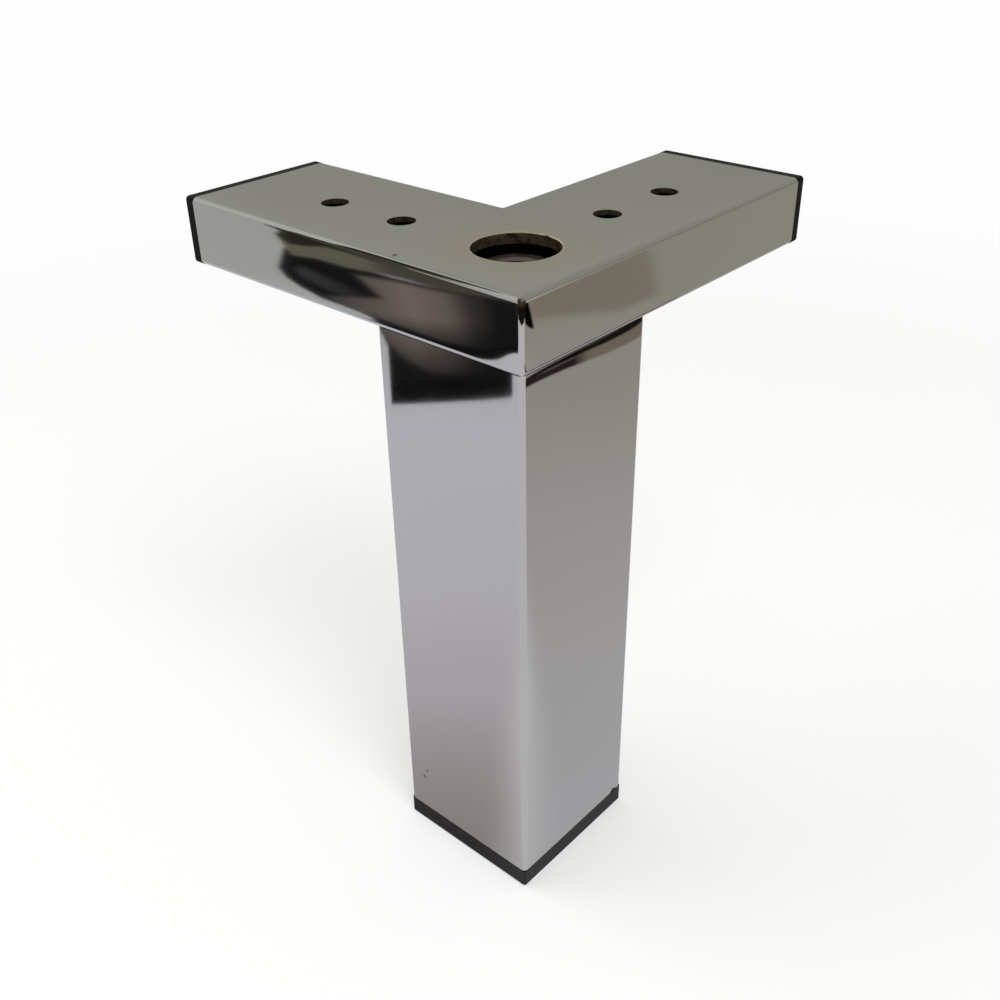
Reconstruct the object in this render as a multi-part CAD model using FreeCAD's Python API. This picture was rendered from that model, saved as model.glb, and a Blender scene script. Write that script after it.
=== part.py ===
# Corner leg for a table: a square tube leg bolted under a bracket of two
# rectangular tubes, mitred at a right angle, with plastic plugs in the open ends.
# Millimetres. The origin is the middle of the foot's underside, Z is up,
# one arm runs along +X (right) and the other along +Y (left).
import FreeCAD, Part
import math
import os
from FreeCAD import Vector

# Whole leg
overall_height = 197.0

# Bracket arms, cut from one size of rectangular tube
arm_width = 50.0
arm_height = 20.0
arm_wall = 1.5
arm_edge_radius = 1.5
arm_tube_length = 125.5
ground_corner_radius = 1.2

# Leg, cut from square tube as wide as the arms and set back a little under their outer faces
leg_width = arm_width
leg_set_back = 1.2
leg_wall = 1.5
leg_edge_radius = 1.5
least_inside_radius = 0.3

# Table screws, two in each arm, measured from the bracket's outer corner
screw_hole_diameter = 8.0
driver_hole_diameter = 13.0
near_screw_distance = 62.5
far_screw_distance = 89.5
screw_line_inset = 23.0

# Pressed collar in the bracket's top, over the fixing of the leg
fixing_x = 0.5
fixing_y = -1.4
collar_bore = 23.4
collar_wall = 1.2
collar_depth = 3.2
collar_rim_radius = 0.4
collar_root_slope = 0.8

# Plate welded into the leg's top, and the fixing that it carries
plate_thickness = 6.0
plate_side_clearance = 0.1
plate_corner_chamfer = 3.0
plate_proud = 0.3
weld_leg = 3.0
weld_length = 20.0
corner_weld_below_top = 0.5
bolt_diameter = 12.0
bolt_length = 20.0
bolt_head_height = 7.5
bolt_hole_clearance = 0.5
thread_clearance = 0.1
hex_across_flats = 19.0
hex_chamfer_angle = 30.0
nut_height = 10.8
thread_lead_in = 0.8
washer_diameter = 24.0
washer_thickness = 2.5

# Plastic plugs
end_cap_flange = 3.5
end_cap_plug_length = 14.0
end_cap_edge_radius = 0.5
foot_flange = 6.5
foot_plug_length = 20.0
foot_edge_chamfer = 0.6
cap_corner_radius = 1.2
foot_corner_radius = 0.8
plug_wall = 1.8
plug_gap = 0.6
fin_count = 3
fin_thickness = 1.2
fin_start = 3.0
foot_web_thickness = 2.0
foot_web_recess = 3.0

# Heights and places that follow from the sizes above
leg_length = overall_height - arm_height - plate_proud - foot_flange
leg_top = foot_flange + leg_length
bracket_bottom = overall_height - arm_height
plate_bottom = bracket_bottom - plate_thickness
outer_corner = -leg_width / 2 - leg_set_back
inner_corner = outer_corner + arm_width
arm_tube_end = outer_corner + arm_tube_length
screw_line = outer_corner + screw_line_inset
near_screw = outer_corner + near_screw_distance
far_screw = outer_corner + far_screw_distance
bolt_hole_radius = bolt_diameter / 2 + bolt_hole_clearance
fixing = Vector(fixing_x, fixing_y, 0)
up = Vector(0, 0, 1)
margin = 5.0


def inside_radius(edge_radius, wall):
    return max(edge_radius - wall, least_inside_radius)


def upright_edges(solid):
    return [edge for edge in solid.Edges if abs(edge.tangentAt(edge.FirstParameter).z) > 0.999]


def edges_at_height(solid, z):
    return [edge for edge in solid.Edges if abs(edge.BoundBox.ZMin - z) + abs(edge.BoundBox.ZMax - z) < 1e-6]


def rounded_bar(size_x, size_y, length, radius):
    bar = Part.makeBox(size_x, size_y, length, Vector(-size_x / 2, -size_y / 2, 0))
    return bar.makeFillet(radius, upright_edges(bar))


def chamfered_bar(size_x, size_y, length, chamfer):
    bar = Part.makeBox(size_x, size_y, length, Vector(-size_x / 2, -size_y / 2, 0))
    return bar.makeChamfer(chamfer, upright_edges(bar))


def rounded_tube(size_x, size_y, length, wall, radius):
    outside = rounded_bar(size_x, size_y, length, radius)
    inside = rounded_bar(size_x - 2 * wall, size_y - 2 * wall, length, inside_radius(radius, wall))
    return outside.cut(inside)


def cylinder(radius, bottom, top, centre=Vector(0, 0, 0)):
    return Part.makeCylinder(radius, top - bottom, Vector(centre.x, centre.y, bottom), up)


def mirrored(shape):
    # The left arm is the right one reflected in the mitre plane X = Y.
    return shape.mirror(Vector(0, 0, 0), Vector(1, -1, 0))


def right_of_mitre():
    # Upright block on the right arm's side of the mitre plane.
    low = outer_corner - margin
    high = outer_corner + arm_tube_length + arm_width
    outline = [Vector(low, low, 0), Vector(high, low, 0), Vector(high, high, 0), Vector(low, low, 0)]
    return Part.Face(Part.makePolygon(outline)).extrude(up * (overall_height + margin))


def corner_waste():
    # What grinding takes off the bracket's sharp upright corner.
    radius = ground_corner_radius
    centre = outer_corner + radius
    size = radius + margin
    block = Part.makeBox(size, size, arm_height, Vector(centre - size, centre - size, bracket_bottom))
    post = cylinder(radius, bracket_bottom, overall_height, Vector(centre, centre, 0))
    return block.cut(post)


def pressed_collar():
    # Ring pressed down from the top wall: a rolled rim, a short neck and a sloped root.
    bore = collar_bore / 2
    neck = bore + collar_wall
    root = neck + collar_root_slope
    under_wall = overall_height - arm_wall
    turn = math.sqrt(0.5)

    def at(radius, z):
        return Vector(fixing.x + radius, fixing.y, z)

    rim_start = at(bore + collar_rim_radius, overall_height)
    rim_middle = at(bore + collar_rim_radius * (1 - turn), overall_height - collar_rim_radius * (1 - turn))
    rim_end = at(bore, overall_height - collar_rim_radius)
    inner_foot = at(bore, overall_height - collar_depth)
    outer_foot = at(neck, overall_height - collar_depth)
    root_start = at(neck, under_wall - collar_root_slope)
    root_end = at(root, under_wall)
    top_edge = at(root, overall_height)
    outline = [
        Part.Arc(rim_start, rim_middle, rim_end).toShape(),
        Part.makeLine(rim_end, inner_foot),
        Part.makeLine(inner_foot, outer_foot),
        Part.makeLine(outer_foot, root_start),
        Part.makeLine(root_start, root_end),
        Part.makeLine(root_end, top_edge),
        Part.makeLine(top_edge, rim_start),
    ]
    return Part.Face(Part.Wire(outline)).revolve(fixing, up, 360)


def collar_seat():
    radius = collar_bore / 2 + collar_wall + collar_root_slope
    return cylinder(radius, overall_height - arm_wall, overall_height + margin, fixing)


def plain_right_arm():
    tube = rounded_tube(arm_height, arm_width, arm_tube_length, arm_wall, arm_edge_radius)
    tube.rotate(Vector(0, 0, 0), Vector(0, 1, 0), 90)
    tube.translate(Vector(outer_corner, outer_corner + arm_width / 2, bracket_bottom + arm_height / 2))
    tube = tube.common(right_of_mitre()).cut(corner_waste())
    for distance in (near_screw, far_screw):
        place = Vector(distance, screw_line, 0)
        screw = cylinder(screw_hole_diameter / 2, overall_height - arm_wall - margin, overall_height + margin, place)
        driver = cylinder(driver_hole_diameter / 2, bracket_bottom - margin, bracket_bottom + arm_wall + margin, place)
        tube = tube.cut(screw.fuse(driver))
    return tube


def finished_arm(arm, own_side):
    # Half of the collar and of the bolt hole belong to each arm.
    bolt_hole = cylinder(bolt_hole_radius, bracket_bottom - margin, bracket_bottom + arm_wall + margin, fixing)
    half_collar = pressed_collar().common(own_side)
    return arm.cut(collar_seat()).cut(bolt_hole).fuse(half_collar).removeSplitter()


def leg_tube():
    tube = rounded_tube(leg_width, leg_width, leg_length, leg_wall, leg_edge_radius)
    tube.translate(Vector(0, 0, foot_flange))
    return tube


def leg_inside():
    return leg_width - 2 * leg_wall


def leg_top_plate():
    side = leg_inside() - 2 * plate_side_clearance
    plate = Part.makeBox(side, side, plate_thickness, Vector(-side / 2, -side / 2, plate_bottom))
    plate = plate.makeChamfer(plate_corner_chamfer, upright_edges(plate))
    return plate.cut(cylinder(bolt_hole_radius, plate_bottom - margin, bracket_bottom + margin, fixing))


def plate_welds():
    # One short fillet weld under the middle of each side of the plate.
    wall = leg_inside() / 2
    start = -weld_length / 2
    section = [
        Vector(start, wall, plate_bottom),
        Vector(start, wall - weld_leg, plate_bottom),
        Vector(start, wall, plate_bottom - weld_leg),
        Vector(start, wall, plate_bottom),
    ]
    bead = Part.Face(Part.makePolygon(section)).extrude(Vector(weld_length, 0, 0))
    beads = []
    for quarter in range(4):
        copy = bead.copy()
        copy.rotate(Vector(0, 0, 0), up, 90 * quarter)
        beads.append(copy)
    return Part.makeCompound(beads)


def corner_weld():
    # The bead left in the bracket's inner corner, where the grinder does not reach.
    section = [
        Vector(inner_corner, inner_corner, bracket_bottom + corner_weld_below_top),
        Vector(inner_corner + weld_leg, inner_corner, bracket_bottom + corner_weld_below_top),
        Vector(inner_corner, inner_corner + weld_leg, bracket_bottom + corner_weld_below_top),
        Vector(inner_corner, inner_corner, bracket_bottom + corner_weld_below_top),
    ]
    return Part.Face(Part.makePolygon(section)).extrude(up * (arm_height - 2 * corner_weld_below_top))


def hexagon_prism(height, chamfered):
    # Stands up from height 0. If chamfered, a cone takes off the corners of its upper end.
    flat_radius = hex_across_flats / 2
    corner_radius = flat_radius / math.cos(math.radians(30))
    corners = []
    for index in range(7):
        angle = math.radians(60 * index)
        corners.append(Vector(corner_radius * math.cos(angle), corner_radius * math.sin(angle), 0))
    prism = Part.Face(Part.makePolygon(corners)).extrude(up * height)
    if not chamfered:
        return prism
    drop = (corner_radius - flat_radius) * math.tan(math.radians(hex_chamfer_angle))
    body = Part.makeCylinder(corner_radius, height - drop, Vector(0, 0, 0), up)
    cone = Part.makeCone(corner_radius, flat_radius, drop, Vector(0, 0, height - drop), up)
    return prism.common(body.fuse(cone))


def leg_bolt():
    radius = bolt_diameter / 2 - thread_clearance
    head = hexagon_prism(bolt_head_height, False)
    shank = Part.makeCylinder(radius, bolt_length, Vector(0, 0, bolt_head_height), up)
    bolt = head.fuse(shank)
    end = edges_at_height(bolt, bolt_head_height + bolt_length)
    bolt = bolt.makeChamfer(thread_lead_in, end).removeSplitter()
    bolt.translate(fixing + up * (plate_bottom - bolt_head_height))
    return bolt


def flat_washer():
    bottom = bracket_bottom + arm_wall
    disc = cylinder(washer_diameter / 2, bottom, bottom + washer_thickness, fixing)
    return disc.cut(cylinder(bolt_hole_radius, bottom, bottom + washer_thickness, fixing))


def hex_nut():
    nut = hexagon_prism(nut_height, True)
    bore = bolt_diameter / 2
    mouth = Part.makeCone(bore, bore + thread_lead_in, thread_lead_in, Vector(0, 0, nut_height - thread_lead_in), up)
    nut = nut.cut(Part.makeCylinder(bore, nut_height, Vector(0, 0, 0), up).fuse(mouth))
    nut.translate(fixing + up * (bracket_bottom + arm_wall + washer_thickness))
    return nut


def finned_plug(inside_x, inside_y, corner, length):
    # A hollow plug that stands up from height 0, with thin fins that grip the tube.
    core_x = inside_x - 2 * plug_gap
    core_y = inside_y - 2 * plug_gap
    core = chamfered_bar(core_x, core_y, length, corner)
    pitch = (length - fin_start - fin_thickness) / fin_count
    for index in range(fin_count):
        fin = chamfered_bar(inside_x, inside_y, fin_thickness, corner)
        fin.translate(up * (fin_start + index * pitch))
        core = core.fuse(fin)
    hollow_x = core_x - 2 * plug_wall
    hollow_y = core_y - 2 * plug_wall
    return core.cut(Part.makeBox(hollow_x, hollow_y, length, Vector(-hollow_x / 2, -hollow_y / 2, 0)))


def right_end_cap():
    flange = rounded_bar(arm_height, arm_width, end_cap_flange, cap_corner_radius)
    flange = flange.makeFillet(end_cap_edge_radius, edges_at_height(flange, 0))
    flange.translate(up * -end_cap_flange)
    corner = inside_radius(arm_edge_radius, arm_wall)
    plug = finned_plug(arm_height - 2 * arm_wall, arm_width - 2 * arm_wall, corner, end_cap_plug_length)
    cap = flange.fuse(plug).removeSplitter()
    cap.rotate(Vector(0, 0, 0), Vector(0, 1, 0), -90)
    cap.translate(Vector(arm_tube_end, outer_corner + arm_width / 2, bracket_bottom + arm_height / 2))
    return cap


def foot_cap():
    flange = rounded_bar(leg_width, leg_width, foot_flange, foot_corner_radius)
    flange = flange.makeChamfer(foot_edge_chamfer, edges_at_height(flange, 0))
    inside = leg_inside()
    plug = finned_plug(inside, inside, inside_radius(leg_edge_radius, leg_wall), foot_plug_length)
    web_length = inside - 2 * plug_gap - plug_wall
    web_height = foot_plug_length - foot_web_recess
    corner = Vector(-web_length / 2, -foot_web_thickness / 2, 0)
    web = Part.makeBox(web_length, foot_web_thickness, web_height, corner)
    cross_web = web.copy()
    cross_web.rotate(Vector(0, 0, 0), up, 90)
    plug = plug.fuse([web, cross_web])
    plug.translate(up * foot_flange)
    return flange.fuse(plug).removeSplitter()


def save(name, shape):
    solids = shape.Solids
    piece = solids[0] if len(solids) == 1 else Part.makeCompound(solids)
    piece.exportStep("parts/%s.step" % name)
    print(name, len(solids), "solid(s)", round(piece.Volume, 1), "mm3", "valid" if piece.isValid() else "NOT VALID")


def main():
    os.makedirs("parts", exist_ok=True)
    right_side = right_of_mitre()
    right_arm = plain_right_arm()
    right_cap = right_end_cap()
    save("right_arm_tube", finished_arm(right_arm, right_side))
    save("left_arm_tube", finished_arm(mirrored(right_arm), mirrored(right_side)))
    save("right_end_cap", right_cap)
    save("left_end_cap", mirrored(right_cap))
    save("leg_tube", leg_tube())
    save("leg_top_plate", leg_top_plate())
    save("plate_welds", plate_welds())
    save("corner_weld", corner_weld())
    save("leg_bolt", leg_bolt())
    save("flat_washer", flat_washer())
    save("hex_nut", hex_nut())
    save("foot_cap", foot_cap())


main()
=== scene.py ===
import math
import bpy
import bmesh
import numpy as np
from mathutils import Euler, Matrix, Vector


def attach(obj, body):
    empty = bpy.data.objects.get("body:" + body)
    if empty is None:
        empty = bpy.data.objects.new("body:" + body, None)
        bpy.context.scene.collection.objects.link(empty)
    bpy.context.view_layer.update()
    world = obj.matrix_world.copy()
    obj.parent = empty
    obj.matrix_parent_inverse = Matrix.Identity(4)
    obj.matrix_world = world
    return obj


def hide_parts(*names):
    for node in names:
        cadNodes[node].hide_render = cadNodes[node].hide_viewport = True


mm = 0.001

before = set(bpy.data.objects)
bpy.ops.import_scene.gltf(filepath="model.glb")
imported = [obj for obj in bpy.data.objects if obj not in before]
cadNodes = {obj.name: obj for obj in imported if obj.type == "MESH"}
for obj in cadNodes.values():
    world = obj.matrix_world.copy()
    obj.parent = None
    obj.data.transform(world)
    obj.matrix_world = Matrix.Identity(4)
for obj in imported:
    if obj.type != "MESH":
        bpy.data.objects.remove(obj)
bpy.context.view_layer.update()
print("frame loaded:", len(cadNodes), "nodes")

# Measures of the solids in mm, which the finishes and the pieces below follow.
bracket = {"outer": -26.2, "inner": 23.8, "under": 177.0, "top": 197.0}
leg = {"half": 25.0, "bore": 23.7, "footTop": 6.5}
fixing = (0.5, -1.4)  # the line of the bolt and of the collar


def linearColour(hexText, gain=1.0):
    channels = [int(hexText[i:i + 2], 16) / 255 for i in (0, 2, 4)]
    return (*(gain * (c / 12.92 if c <= 0.04045 else ((c + 0.055) / 1.055) ** 2.4) for c in channels), 1.0)


def setInputs(tree, node, values):
    # A value is a number, a colour, a socket, a node (it gives the output in use) or a list of those to join.
    for socket, value in values.items():
        for source in value if isinstance(value, list) else [value]:
            if isinstance(source, bpy.types.Node):
                source = next(output for output in source.outputs if output.enabled)
            if isinstance(source, bpy.types.NodeSocket):
                tree.links.new(source, node.inputs[socket])
            else:
                node.inputs[socket].default_value = source


def addNode(tree, kind, values=None, **settings):
    node = tree.nodes.new(kind)
    for name, setting in settings.items():
        setattr(node, name, setting)
    setInputs(tree, node, values or {})
    return node


def newMaterial(name, fixed):
    # Gives the material, its node tree, the principled shader and object coordinates in millimetres.
    material = bpy.data.materials.new(name)
    material.use_nodes = True
    tree = material.node_tree
    shader = tree.nodes["Principled BSDF"]
    setInputs(tree, shader, fixed)
    coordinates = addNode(tree, "ShaderNodeTexCoord").outputs["Object"]
    place = addNode(tree, "ShaderNodeMapping", {"Vector": coordinates, "Scale": (1000, 1000, 1000)})
    return material, tree, shader, place


chrome = {
    "plate": "B8B7B5",
    "warmPlate": "BCB5A8",
    "rimPlate": "C9C3A8",
    "collar": (*fixing, bracket["top"]),
    "tintStart": 13.0,  # the straw tint is full inside this reach from the collar's middle and gone at tintEnd
    "tintEnd": 27.0,
    "blotch": 10.0,
    "blotchPerMm": 0.12,
    "rim": (11.9, 12.5),
    "roughness": 0.05,
    "smear": 0.04,
    "smearPerMm": 0.06,
    "waveDepth": 0.010,
    "wavePerMm": 0.05,
    "grainDepth": 0.0003,
    "grainPerMm": 0.9,
    "rollOff": (0.24, 5.0),  # how far the wheel took a face down at its edge, and over what width
    "underRollOff": (0.38, 7.0),
    "cornerRollOff": (0.5, 5.0),
    "pits": [((-23.56, 17.67, 197.0), 0.7), ((-26.2, -25.3, 196.6), 0.7), ((-25.0, 16.9, 23.3), 0.4),
             ((-25.0, 18.3, 20.0), 0.45)],
    "pitTone": "3A322C",
    # the black of the corner's dark streak and of the painted shade at the foot
    "cornerStreakAndGapShadeBlack": "17120F",
    # the dark streak painted on the upper end of the outer corner
    "cornerStreakBrown": "4C3B30",
    "cornerStreakFoot": 188.8,
    "cornerStreakWidening": 0.30,
    "cornerStreakWidth": 1.35,
    "cornerStreakTop": (196.0, 196.7),
    "brownFrom": (194.0, 196.4),
    # painted shade at the tube's lowest edge over the foot: full below the first height above the foot's top, gone
    # above the second, in mm
    "grime": (0.38, 0.62),
}


def chromePlate(name, edges, corner=None, lowEnd=None):
    # Bright chrome over buffed steel tube. The eye sees what stands round it, bent where the buffing wheel has rolled
    # each face off towards its edges, and a thin straw tint where the collar's plating burned under the welding.
    material, tree, shader, place = newMaterial(name, {"Metallic": 1.0})
    axes = addNode(tree, "ShaderNodeSeparateXYZ", {0: place}).outputs
    wave = addNode(tree, "ShaderNodeTexNoise", {"Vector": place, "Scale": chrome["wavePerMm"], "Detail": 1.0})
    height = addNode(tree, "ShaderNodeMath", {0: wave, 1: chrome["waveDepth"]}, operation="MULTIPLY")
    falls = []
    for axis, position, inward, depth, width in edges:
        fall = addNode(tree, "ShaderNodeMath", {0: axes[axis], 1: -inward / width, 2: inward * position / width},
                       operation="MULTIPLY_ADD")
        falls.append((fall, depth))
    if corner:
        gap = addNode(tree, "ShaderNodeVectorMath", {0: place, 1: corner}, operation="DISTANCE")
        depth, width = chrome["cornerRollOff"]
        falls.append((addNode(tree, "ShaderNodeMath", {0: gap, 1: -width}, operation="DIVIDE"), depth))
    for fall, depth in falls:
        fall = addNode(tree, "ShaderNodeMath", {0: fall}, operation="EXPONENT")
        height = addNode(tree, "ShaderNodeMath", {0: fall, 1: -depth, 2: height}, operation="MULTIPLY_ADD")
    grain = addNode(tree, "ShaderNodeTexNoise", {"Vector": place, "Scale": chrome["grainPerMm"]})
    height = addNode(tree, "ShaderNodeMath", {0: grain, 1: chrome["grainDepth"], 2: height}, operation="MULTIPLY_ADD")
    bump = addNode(tree, "ShaderNodeBump", {"Distance": mm, "Height": height})

    # The straw tint, the collar's rim and the pits.
    fromCollar = addNode(tree, "ShaderNodeVectorMath", {0: place, 1: chrome["collar"]}, operation="DISTANCE")
    blotch = addNode(tree, "ShaderNodeTexNoise", {"Vector": place, "Scale": chrome["blotchPerMm"], "Detail": 3.0})
    reach = addNode(tree, "ShaderNodeMath", {0: blotch, 1: chrome["blotch"], 2: fromCollar}, operation="MULTIPLY_ADD")
    meanBlotch = chrome["blotch"] / 2
    straw = addNode(tree, "ShaderNodeMapRange", {"Value": reach, "From Min": chrome["tintEnd"] + meanBlotch,
                                                 "From Max": chrome["tintStart"] + meanBlotch},
                    interpolation_type="SMOOTHSTEP")
    tint = addNode(tree, "ShaderNodeMix", {0: straw, 6: linearColour(chrome["plate"]),
                                           7: linearColour(chrome["warmPlate"])}, data_type="RGBA")
    rimFull, rimNone = chrome["rim"]
    rim = addNode(tree, "ShaderNodeMapRange", {"Value": fromCollar, "From Min": rimNone, "From Max": rimFull},
                  interpolation_type="SMOOTHSTEP")
    tint = addNode(tree, "ShaderNodeMix", {0: rim, 6: tint, 7: linearColour(chrome["rimPlate"])}, data_type="RGBA")
    ragged = addNode(tree, "ShaderNodeTexNoise", {"Vector": place, "Scale": 2.2}).outputs["Color"]
    jagged = addNode(tree, "ShaderNodeVectorMath", {0: ragged, 1: (0.8, 0.8, 0.8), 2: place}, operation="MULTIPLY_ADD")
    for pit, radius in chrome["pits"]:
        centre = tuple(v + 0.4 for v in pit)  # the noise above is 0.5 on average
        away = addNode(tree, "ShaderNodeVectorMath", {0: jagged, 1: centre}, operation="DISTANCE")
        inPit = addNode(tree, "ShaderNodeMapRange", {"Value": away, "From Min": radius * 1.3, "From Max": radius * 0.7},
                        interpolation_type="SMOOTHSTEP")
        tint = addNode(tree, "ShaderNodeMix", {0: inPit, 6: tint, 7: linearColour(chrome["pitTone"])}, data_type="RGBA")
    smear = addNode(tree, "ShaderNodeTexNoise", {"Vector": place, "Scale": chrome["smearPerMm"], "Detail": 3.0})
    least = chrome["roughness"] - chrome["smear"] / 2
    rough = addNode(tree, "ShaderNodeMath", {0: smear, 1: chrome["smear"], 2: least}, operation="MULTIPLY_ADD")

    if corner:
        # A dark streak painted on the upper end of the outer corner, black below and brown above, and rougher.
        flat = addNode(tree, "ShaderNodeVectorMath", {0: place, 1: (1, 1, 0)}, operation="MULTIPLY")
        fromEdge = addNode(tree, "ShaderNodeVectorMath", {0: flat, 1: (corner[0], corner[1], 0)}, operation="DISTANCE")
        fray = addNode(tree, "ShaderNodeTexNoise", {"Vector": place, "Scale": 1.3, "Detail": 4.0})
        frayed = addNode(tree, "ShaderNodeMath", {0: fray, 1: -1.4, 2: fromEdge}, operation="MULTIPLY_ADD")
        widening = chrome["cornerStreakWidening"]
        breadth = addNode(tree, "ShaderNodeMath", {0: axes[2], 1: widening, 2: -widening * chrome["cornerStreakFoot"]},
                          operation="MULTIPLY_ADD")
        breadth = addNode(tree, "ShaderNodeMath", {0: breadth, 1: chrome["cornerStreakWidth"]}, operation="MINIMUM")
        inside = addNode(tree, "ShaderNodeMath", {0: breadth, 1: frayed}, operation="SUBTRACT")
        inside = addNode(tree, "ShaderNodeMapRange", {"Value": inside, "From Min": 0.5, "From Max": 0.85},
                         interpolation_type="SMOOTHSTEP")
        (topLow, topHigh), (brownLow, brownHigh) = chrome["cornerStreakTop"], chrome["brownFrom"]
        below = addNode(tree, "ShaderNodeMapRange", {"Value": axes[2], "From Min": topHigh, "From Max": topLow},
                        interpolation_type="SMOOTHSTEP")
        streaked = addNode(tree, "ShaderNodeMath", {0: inside, 1: below}, operation="MULTIPLY")
        brown = addNode(tree, "ShaderNodeMapRange", {"Value": axes[2], "From Min": brownLow, "From Max": brownHigh},
                        interpolation_type="SMOOTHSTEP")
        streakTone = addNode(tree, "ShaderNodeMix", {0: brown, 6: linearColour(chrome["cornerStreakAndGapShadeBlack"]),
                                               7: linearColour(chrome["cornerStreakBrown"])}, data_type="RGBA")
        tint = addNode(tree, "ShaderNodeMix", {0: streaked, 6: tint, 7: streakTone}, data_type="RGBA")
        rough = addNode(tree, "ShaderNodeMath", {0: streaked, 1: 0.2, 2: rough}, operation="MULTIPLY_ADD")
    if lowEnd:
        # Painted shade: a dark ragged line where the foot's flange meets the tube's cut end.
        gapShadeNoise = addNode(tree, "ShaderNodeTexNoise", {"Vector": place, "Scale": 0.8, "Detail": 3.0})
        level = addNode(tree, "ShaderNodeMath", {0: gapShadeNoise, 1: 0.3, 2: axes[2]}, operation="MULTIPLY_ADD")
        gapShadeLow, gapShadeHigh = chrome["grime"]
        grime = addNode(tree, "ShaderNodeMapRange", {"Value": level, "From Min": lowEnd + gapShadeHigh,
                                                     "From Max": lowEnd + gapShadeLow}, interpolation_type="SMOOTHSTEP")
        tint = addNode(tree, "ShaderNodeMix", {0: grime, 6: tint, 7: linearColour(chrome["cornerStreakAndGapShadeBlack"])},
                       data_type="RGBA")
    setInputs(tree, shader, {"Base Color": tint, "Roughness": rough, "Normal": bump})
    return material


def bothEdges(axis, low, high):
    # The wheel's roll-off at both edges of a face: axis, place, which way is inwards, depth and width.
    return [(axis, low, 1, *chrome["rollOff"]), (axis, high, -1, *chrome["rollOff"])]


underAndTop = [(2, bracket["under"], 1, *chrome["underRollOff"]), (2, bracket["top"], -1, *chrome["rollOff"])]
lowCorner = (bracket["outer"], bracket["outer"], bracket["under"])
chromeRightArm = chromePlate("bright chrome plate, right arm",
                             underAndTop + bothEdges(1, bracket["outer"], bracket["inner"]), corner=lowCorner)
chromeLeftArm = chromePlate("bright chrome plate, left arm",
                            underAndTop + bothEdges(0, bracket["outer"], bracket["inner"]), corner=lowCorner)
legSides = bothEdges(0, -leg["half"], leg["half"]) + bothEdges(1, -leg["half"], leg["half"])
chromeLeg = chromePlate("bright chrome plate, leg", legSides, lowEnd=leg["footTop"])

steel = {"tone": "6B5F50", "oxide": "3A2A20", "oxidePerMm": 0.35, "smooth": 0.42, "rougher": 0.25,
         "scalePerMm": 1.4, "scaleDepth": 0.04}


def bareSteel():
    # Tube insides and hole walls that the plating hardly reached: dull rolled steel under blotches of brown oxide.
    material, tree, shader, place = newMaterial("bare mild steel with brown oxide", {"Metallic": 0.75})
    spots = addNode(tree, "ShaderNodeTexNoise", {"Vector": place, "Scale": steel["oxidePerMm"], "Detail": 5.0,
                                                 "Roughness": 0.65})
    oxide = addNode(tree, "ShaderNodeMapRange", {"Value": spots, "From Min": 0.42, "From Max": 0.62},
                    interpolation_type="SMOOTHSTEP")
    tint = addNode(tree, "ShaderNodeMix", {0: oxide, 6: linearColour(steel["tone"]), 7: linearColour(steel["oxide"])},
                   data_type="RGBA")
    rough = addNode(tree, "ShaderNodeMath", {0: oxide, 1: steel["rougher"], 2: steel["smooth"]},
                    operation="MULTIPLY_ADD")
    scale = addNode(tree, "ShaderNodeTexNoise", {"Vector": place, "Scale": steel["scalePerMm"], "Detail": 4.0})
    height = addNode(tree, "ShaderNodeMath", {0: scale, 1: steel["scaleDepth"]}, operation="MULTIPLY")
    bump = addNode(tree, "ShaderNodeBump", {"Distance": mm, "Height": height})
    setInputs(tree, shader, {"Base Color": tint, "Roughness": rough, "Normal": bump})
    return material


zincCoat = {"dark": "675F5B", "pale": "8C8381", "cloudPerMm": 0.25, "smooth": 0.35, "rougher": 0.3,
            "marksPerMm": 1.1, "markDepth": 0.02}


def zincPlate():
    # Bolt, nut and washer: barrel-plated zinc, dull and slightly violet, clouded by handling.
    material, tree, shader, place = newMaterial("dull zinc plate", {"Metallic": 1.0})
    cloud = addNode(tree, "ShaderNodeTexNoise", {"Vector": place, "Scale": zincCoat["cloudPerMm"], "Detail": 4.0})
    tint = addNode(tree, "ShaderNodeMix", {0: cloud, 6: linearColour(zincCoat["dark"]),
                                           7: linearColour(zincCoat["pale"])}, data_type="RGBA")
    rough = addNode(tree, "ShaderNodeMath", {0: cloud, 1: zincCoat["rougher"], 2: zincCoat["smooth"]},
                    operation="MULTIPLY_ADD")
    marks = addNode(tree, "ShaderNodeTexNoise", {"Vector": place, "Scale": zincCoat["marksPerMm"], "Detail": 3.0})
    height = addNode(tree, "ShaderNodeMath", {0: marks, 1: zincCoat["markDepth"]}, operation="MULTIPLY")
    bump = addNode(tree, "ShaderNodeBump", {"Distance": mm, "Height": height})
    setInputs(tree, shader, {"Base Color": tint, "Roughness": rough, "Normal": bump})
    return material


plastic = {
    "arm plugs": {"tone": "0C0B0A", "roughness": 0.5, "gloss": 0.09},
    "foot": {"tone": "1E1B1C", "roughness": 0.55, "gloss": 0.27},
}


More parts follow.
